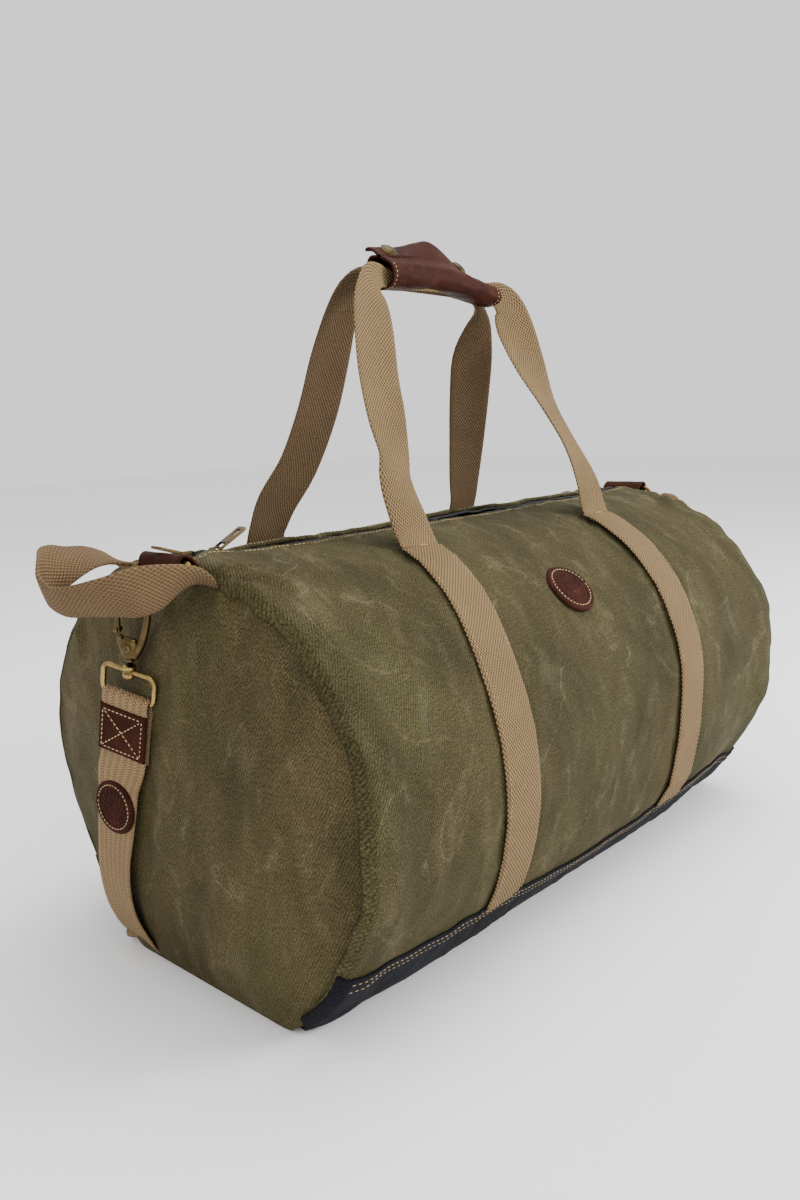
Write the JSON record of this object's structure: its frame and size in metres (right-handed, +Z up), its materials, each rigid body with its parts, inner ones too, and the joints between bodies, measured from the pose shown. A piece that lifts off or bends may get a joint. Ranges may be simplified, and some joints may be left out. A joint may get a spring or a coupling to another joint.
{
  "type": "duffel bag",
  "caption": "Barrel-shaped canvas duffel bag with webbing handles joined by a press-stud leather wrap, end grab loops, a two-slider zip and a hooked-on shoulder strap.",
  "frame": {"origin": "on the floor, at the middle of the bag's base", "axes": "+X along the bag from the left end to the right end, -Y towards the front, +Z up"},
  "size_m": [0.7425, 0.3414, 0.5126],
  "materials": {
    "canvas": "washed and waxed olive canvas",
    "base_canvas": "charcoal canvas",
    "webbing": "tan cotton webbing, coarse weave",
    "leather": "reddish-brown leather, semi-matt",
    "antique_brass": "antique brass",
    "zip_tape": "black zip tape",
    "zip_coil": "black nylon coil",
    "binding": "black binding tape",
    "board": "black plastic board"
  },
  "bodies": {
    "root": {"base_panel": "base_canvas", "base_board": "board", "badge_front": "leather", "shoulder_strap_run": "webbing", "front_panel": "canvas", "back_panel": "canvas", "end_panel_left": "canvas", "end_panel_right": "canvas", "seam_binding_left": "binding", "seam_binding_right": "binding", "zip_end_patch_left": "canvas", "zip_end_patch_right": "canvas", "handle_strap_front_left": "webbing", "handle_strap_front_right": "webbing", "handle_strap_back_left": "webbing", "handle_strap_back_right": "webbing", "handle_leg_front_left": "webbing", "handle_leg_front_right": "webbing", "handle_leg_back_left": "webbing", "handle_leg_back_right": "webbing", "ring_tab_left": "leather", "ring_tab_right": "leather", "strap_drop_left": "webbing", "strap_drop_right": "webbing"},
    "front_lip": {"lip_front": "canvas", "zip_tape_front": "zip_tape", "zip_coil_front": "zip_coil"},
    "back_lip": {"lip_back": "canvas", "zip_tape_back": "zip_tape", "zip_coil_back": "zip_coil"},
    "slider_end": {"slider_end": "antique_brass"},
    "pull_end": {"pull_end": "antique_brass"},
    "slider_main": {"slider_main": "antique_brass"},
    "pull_main": {"pull_main": "antique_brass"},
    "handles": {"handle_grip_front": "webbing", "handle_grip_back": "webbing", "wrap_base": "leather", "snap_studs": "antique_brass"},
    "wrap_flap": {"wrap_flap": "leather", "snap_caps": "antique_brass"},
    "grab_loop_left": {"grab_loop_left": "webbing"},
    "grab_loop_right": {"grab_loop_right": "webbing"},
    "ring_left": {"end_ring_left": "antique_brass"},
    "ring_right": {"end_ring_right": "antique_brass"},
    "strap_end_left": {"strap_frame_left": "antique_brass", "strap_end_left": "webbing", "strap_patch_left": "leather", "strap_badge_left": "leather"},
    "strap_end_right": {"strap_frame_right": "antique_brass", "strap_end_right": "webbing", "strap_patch_right": "leather"},
    "hook_left": {"snap_hook_left": "antique_brass"},
    "hook_right": {"snap_hook_right": "antique_brass"},
    "gate_left": {"hook_gate_left": "antique_brass"},
    "gate_right": {"hook_gate_right": "antique_brass"},
    "adjuster": {"strap_adjuster": "antique_brass"}
  },
  "joints": [
    {"name": "slider_main_slide", "type": "slide", "parent": "root", "child": "slider_main", "axis": [1, 0, 0], "range_m": [0, 0.5]},
    {"name": "pull_main_flip", "type": "hinge", "parent": "slider_main", "child": "pull_main", "pos_m": [-0.244, 0, 0.3019], "axis": [-0.1392, -0.9903, 0], "range_deg": [0, 130]},
    {"name": "slider_end_slide", "type": "slide", "parent": "root", "child": "slider_end", "axis": [1, 0, 0], "range_m": [0, 0.001]},
    {"name": "pull_end_flip", "type": "hinge", "parent": "slider_end", "child": "pull_end", "pos_m": [-0.266, 0, 0.3019], "axis": [0, 1, 0], "range_deg": [0, 120]},
    {"name": "mouth_front", "type": "hinge", "parent": "root", "child": "front_lip", "pos_m": [0, -0.05, 0.29348], "axis": [1, 0, 0], "range_deg": [0, 65.05], "deforming": ["zip_tape_front", "zip_coil_front"]},
    {"name": "mouth_back", "type": "hinge", "parent": "root", "child": "back_lip", "pos_m": [0, 0.05, 0.29348], "axis": [-1, 0, 0], "range_deg": [0, 65.05], "deforming": ["zip_tape_back", "zip_coil_back"]},
    {"name": "handles_lean", "type": "hinge", "parent": "root", "child": "handles", "pos_m": [0, 0, 0.38], "axis": [1, 0, 0], "range_deg": [-75, 75], "deforming": ["handle_leg_front_left", "handle_leg_front_right", "handle_leg_back_left", "handle_leg_back_right"]},
    {"name": "wrap_flap_open", "type": "hinge", "parent": "handles", "child": "wrap_flap", "pos_m": [0, -0.013, 0.5076], "axis": [1, 0, 0], "range_deg": [0, 120]},
    {"name": "grab_loop_left_fold", "type": "hinge", "parent": "root", "child": "grab_loop_left", "pos_m": [-0.2805, 0, 0.295], "axis": [0, 1, 0], "range_deg": [-28, 80]},
    {"name": "ring_left_tilt", "type": "hinge", "parent": "root", "child": "ring_left", "pos_m": [-0.286, 0, 0.3], "axis": [0, 1, 0], "range_deg": [0, 1.5]},
    {"name": "strap_end_left_swing", "type": "hinge", "parent": "root", "child": "strap_end_left", "pos_m": [-0.3015, 0.0205, 0.28945], "axis": [0, 1, 0], "range_deg": [0, 10], "deforming": ["strap_drop_left"]},
    {"name": "hook_left_swivel", "type": "hinge", "parent": "strap_end_left", "child": "hook_left", "pos_m": [-0.3015, 0.0205, 0.28945], "axis": [0, -0.1736, 0.9848], "range_deg": [-12, 12]},
    {"name": "gate_left_open", "type": "hinge", "parent": "hook_left", "child": "gate_left", "pos_m": [-0.3015, 0.03783, 0.25595], "axis": [1, 0, 0], "range_deg": [0, 25], "stiffness_Nm_per_rad": 0.02, "springref_deg": -11.46},
    {"name": "grab_loop_right_fold", "type": "hinge", "parent": "root", "child": "grab_loop_right", "pos_m": [0.2805, 0, 0.295], "axis": [0, -1, 0], "range_deg": [-2, 106]},
    {"name": "ring_right_tilt", "type": "hinge", "parent": "root", "child": "ring_right", "pos_m": [0.286, 0, 0.3], "axis": [0, -1, 0], "range_deg": [0, 1.5]},
    {"name": "strap_end_right_swing", "type": "hinge", "parent": "root", "child": "strap_end_right", "pos_m": [0.3015, 0.0205, 0.28945], "axis": [0, -1, 0], "range_deg": [0, 10], "deforming": ["strap_drop_right"]},
    {"name": "hook_right_swivel", "type": "hinge", "parent": "strap_end_right", "child": "hook_right", "pos_m": [0.3015, 0.0205, 0.28945], "axis": [0, 0.1736, -0.9848], "range_deg": [-12, 12]},
    {"name": "gate_right_open", "type": "hinge", "parent": "hook_right", "child": "gate_right", "pos_m": [0.3015, 0.03783, 0.25595], "axis": [1, 0, 0], "range_deg": [0, 25], "stiffness_Nm_per_rad": 0.02, "springref_deg": -11.46},
    {"name": "adjuster_slide", "type": "slide", "parent": "root", "child": "adjuster", "axis": [1, 0, 0], "range_m": [-0.1, 0.055]}
  ],
  "couplings": [
    {"joint": "mouth_front", "follows": "slider_main_slide", "rad_per_m": 2.2689},
    {"joint": "mouth_back", "follows": "slider_main_slide", "rad_per_m": 2.2689}
  ]
}
